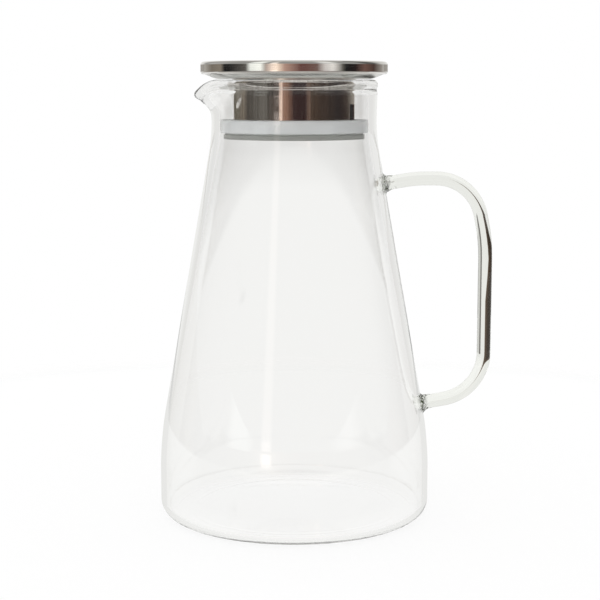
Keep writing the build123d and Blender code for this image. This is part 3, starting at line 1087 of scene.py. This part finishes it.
# sleeve: thin tube, brushed upright, with the pour window and the strainer slots cut through
sleeveFinish = {
    "dark": (0.40, 0.38, 0.35),
    "bright": (0.68, 0.65, 0.61),
    "roughness": (0.05, 0.10),
    "smear": 0.015,
    "lines": (1500.0, 1500.0, 10.0),
    "cloud": 60.0,
    "rings": 0.0,
    "relief": 0.05,
    "depth": 0.02,
}
sleeveShape = {
    "radius": 31.5,
    "wall": 0.5,
    "bottom": 205.0,
    "top": 225.4,
    "windowTop": 213.2,
    "windowFrom": -30.0,
    "windowTo": 7.0,
    "slotMiddle": 168.5,
    "slotPitch": 8.0,
    "slotWidth": 3.64,
    "slots": 5,
    "slotBottom": 211.2,
    "slotTop": 219.2,
    "steps": 128,
}


def sleeveOpenings():  # first and last angle, bottom and top of the window and of each slot
    sleeve = sleeveShape
    half = sleeve["slotWidth"] / 2.0
    openings = [(sleeve["windowFrom"], sleeve["windowTo"], sleeve["bottom"], sleeve["windowTop"])]
    for index in range(sleeve["slots"]):
        middle = sleeve["slotMiddle"] + sleeve["slotPitch"] * (index - (sleeve["slots"] - 1) / 2.0)
        openings.append((middle - half, middle + half, sleeve["slotBottom"], sleeve["slotTop"]))
    return openings


def cutAt(bm, point, normal):
    bmesh.ops.bisect_plane(bm, geom=bm.verts[:] + bm.edges[:] + bm.faces[:], dist=fineMerge,
                           plane_co=point, plane_no=normal)


def cutOpenings(bm, openings):
    for start, end, bottom, top in openings:
        for angle in (start, end):
            turn = math.radians(angle)
            cutAt(bm, (0, 0, 0), (-math.sin(turn), math.cos(turn), 0))
        for height in (bottom, top):
            cutAt(bm, (0, 0, height * mm), upAxis)
    gone = []
    for face in bm.faces:
        centre = face.calc_center_median()
        angle = math.degrees(math.atan2(centre.y, centre.x))
        height = centre.z / mm
        for start, end, bottom, top in openings:
            inside = (angle - start) % 360.0 < end - start
            if inside and bottom < height < top:
                gone.append(face)
    bmesh.ops.delete(bm, geom=gone, context="FACES")


def makeSleeve():
    sleeve = sleeveShape
    bm = bmesh.new()
    low = bm.verts.new((sleeve["radius"] * mm, 0, sleeve["bottom"] * mm))
    high = bm.verts.new((sleeve["radius"] * mm, 0, sleeve["top"] * mm))
    bm.edges.new((low, high))
    spinRound(bm, sleeve["steps"])
    cutOpenings(bm, sleeveOpenings())
    bmesh.ops.recalc_face_normals(bm, faces=bm.faces)
    sample = bm.faces[:][0]
    if sample.normal.dot(sample.calc_center_median() * Vector((1, 1, 0))) < 0:
        bmesh.ops.reverse_faces(bm, faces=bm.faces)
    bmesh.ops.solidify(bm, geom=bm.faces[:], thickness=sleeve["wall"] * mm)
    material = steel("sleeveSteel", sleeveFinish)
    finishPiece("lidSleeve", bm, material, "lid", "lid_sleeve")


makeSleeve()


# gasket: milky silicone, a wide band over a groove and a narrower lip
gasketFinish = {
    "milk": (0.95, 0.98, 0.98),
    "cloudy": (0.90, 0.93, 0.92),
    "lip": (0.42, 0.43, 0.40),  # painted shade: the lip under the band is coloured darker
    "lipShadeFade": 0.4,  # how far the painted lip shade reaches up into the band
    "roughness": 0.42,
    "through": 0.25,
    "depthOfLight": 1.5,
    "grain": 1800.0,
    "drift": 70.0,
    "relief": 0.15,
    "depth": 0.03,
}
gasketShape = {
    "inside": 31.8,
    "band": 37.8,
    "lip": 36.0,
    "groove": 35.3,
    "seat": 34.0,
    "top": 205.0,
    "bandBottom": 198.4,
    "grooveBottom": 197.6,
    "bottom": 195.2,
    "seatBottom": 200.3,
    "seatTop": 202.5,
    "round": 0.6,
    "lipRound": 0.4,
    "innerRound": 0.3,
    "edgeRound": 0.2,
    "steps": 160,
}


def silicone(name, finish):
    material, tree, shader = newMaterial(name)
    grain = placeGroup(tree, mouldGrainGroup, Grain=finish["grain"], Drift=finish["drift"])
    band = blendColors(tree, grain.outputs["Tone"], finish["cloudy"], finish["milk"])
    # painted shade: below the groove the colour turns to the darker lip tone
    bandFrom = (gasketShape["grooveBottom"], gasketShape["bandBottom"] + finish["lipShadeFade"])
    thick = reachShare(tree, splitVector(tree, objectPlace(tree))["Z"], bandFrom)
    tree.links.new(blendColors(tree, thick, finish["lip"], band), shader.inputs["Base Color"])
    shader.inputs["Roughness"].default_value = finish["roughness"]
    shader.inputs["Subsurface Weight"].default_value = finish["through"]
    shader.inputs["Subsurface Radius"].default_value = (1.0, 1.0, 1.0)
    shader.inputs["Subsurface Scale"].default_value = finish["depthOfLight"] * mm
    addBump(tree, shader, grain.outputs["Height"], finish["relief"], finish["depth"])
    return material


def makeGasket():
    ring = gasketShape
    bm = turnedBmesh([
        (ring["inside"], ring["top"], ring["edgeRound"], 3),
        (ring["band"], ring["top"], ring["round"], 6),
        (ring["band"], ring["bandBottom"], ring["round"], 6),
        (ring["groove"], ring["bandBottom"], ring["edgeRound"], 3),
        (ring["groove"], ring["grooveBottom"], ring["edgeRound"], 3),
        (ring["lip"], ring["grooveBottom"], ring["lipRound"], 4),
        (ring["lip"], ring["bottom"], ring["round"], 6),
        (ring["inside"], ring["bottom"], ring["innerRound"], 3),
        (ring["inside"], ring["seatBottom"], 0, 0),
        (ring["seat"], ring["seatBottom"], 0, 0),
        (ring["seat"], ring["seatTop"], 0, 0),
        (ring["inside"], ring["seatTop"], 0, 0),
    ])
    spinRound(bm, ring["steps"])
    material = silicone("gasketSilicone", gasketFinish)
    finishPiece("lidGasket", bm, material, "seal", "lid_gasket")


makeGasket()


# core and lock ring keep their CAD shape, in black moulded plastic
plasticFinish = {
    "black": (0.006, 0.006, 0.006),
    "worn": (0.012, 0.011, 0.010),
    "roughness": (0.34, 0.50),
    "shine": 0.2,
    "grain": 2600.0,
    "drift": 45.0,
    "relief": 0.2,
    "depth": 0.03,
}


def plastic(name, finish):
    material, tree, shader = newMaterial(name)
    grain = placeGroup(tree, mouldGrainGroup, Grain=finish["grain"], Drift=finish["drift"])
    tone = grain.outputs["Tone"]
    tree.links.new(blendColors(tree, tone, finish["black"], finish["worn"]), shader.inputs["Base Color"])
    tree.links.new(spreadNoise(tree, tone, *finish["roughness"]), shader.inputs["Roughness"])
    shader.inputs["Specular IOR Level"].default_value = finish["shine"]
    addBump(tree, shader, grain.outputs["Height"], finish["relief"], finish["depth"])
    return material


corePlastic = plastic("corePlastic", plasticFinish)
for nodeName in ("lid_core", "core_lock_ring"):
    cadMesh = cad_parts[nodeName].data
    cadMesh.materials.clear()
    cadMesh.materials.append(corePlastic)
print("core and lock ring dressed")
